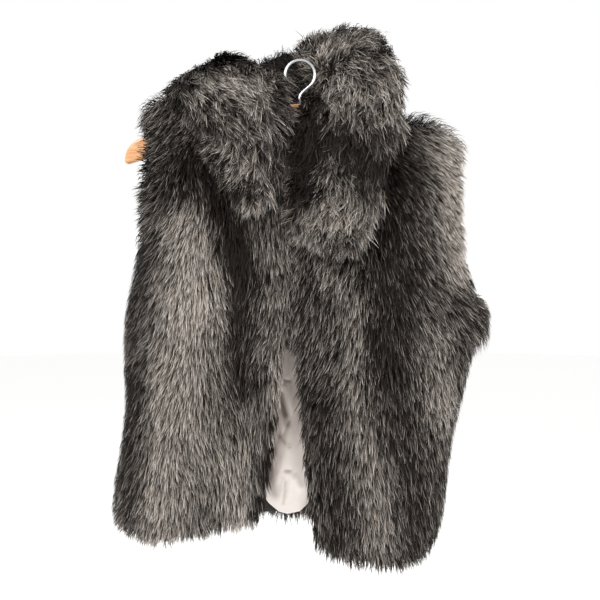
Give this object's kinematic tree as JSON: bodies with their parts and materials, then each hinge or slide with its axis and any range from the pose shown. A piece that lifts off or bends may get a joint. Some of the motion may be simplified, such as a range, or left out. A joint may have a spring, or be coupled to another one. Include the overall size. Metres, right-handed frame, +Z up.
{
  "type": "faux fur vest on a hanger",
  "caption": "Long-haired faux fur vest with a shawl collar and a satin lining, hanging open on a wooden hanger, one collar side folded out and the other standing up.",
  "frame": {"origin": "the point inside the top of the hanger's hook where it hangs on a rail, a peg or a hand", "axes": "+Z up, +X to the wearer's left, the fronts face -Y"},
  "size_m": [0.4953, 0.1793, 0.7256],
  "materials": {
    "faux_fur": "long grey-brown hair with pale tips",
    "satin_lining": "cream satin",
    "varnished_wood": "clear varnish",
    "hook_steel": "polished"
  },
  "bodies": {
    "root": {"front_right": "faux_fur", "front_left": "faux_fur", "back": "faux_fur", "collar_right": "faux_fur", "collar_left": "faux_fur", "lining_front_right": "satin_lining", "lining_front_left": "satin_lining", "lining_back": "satin_lining", "hanger_bar": "varnished_wood", "hanger_hook": "hook_steel"}
  },
  "joints": []
}
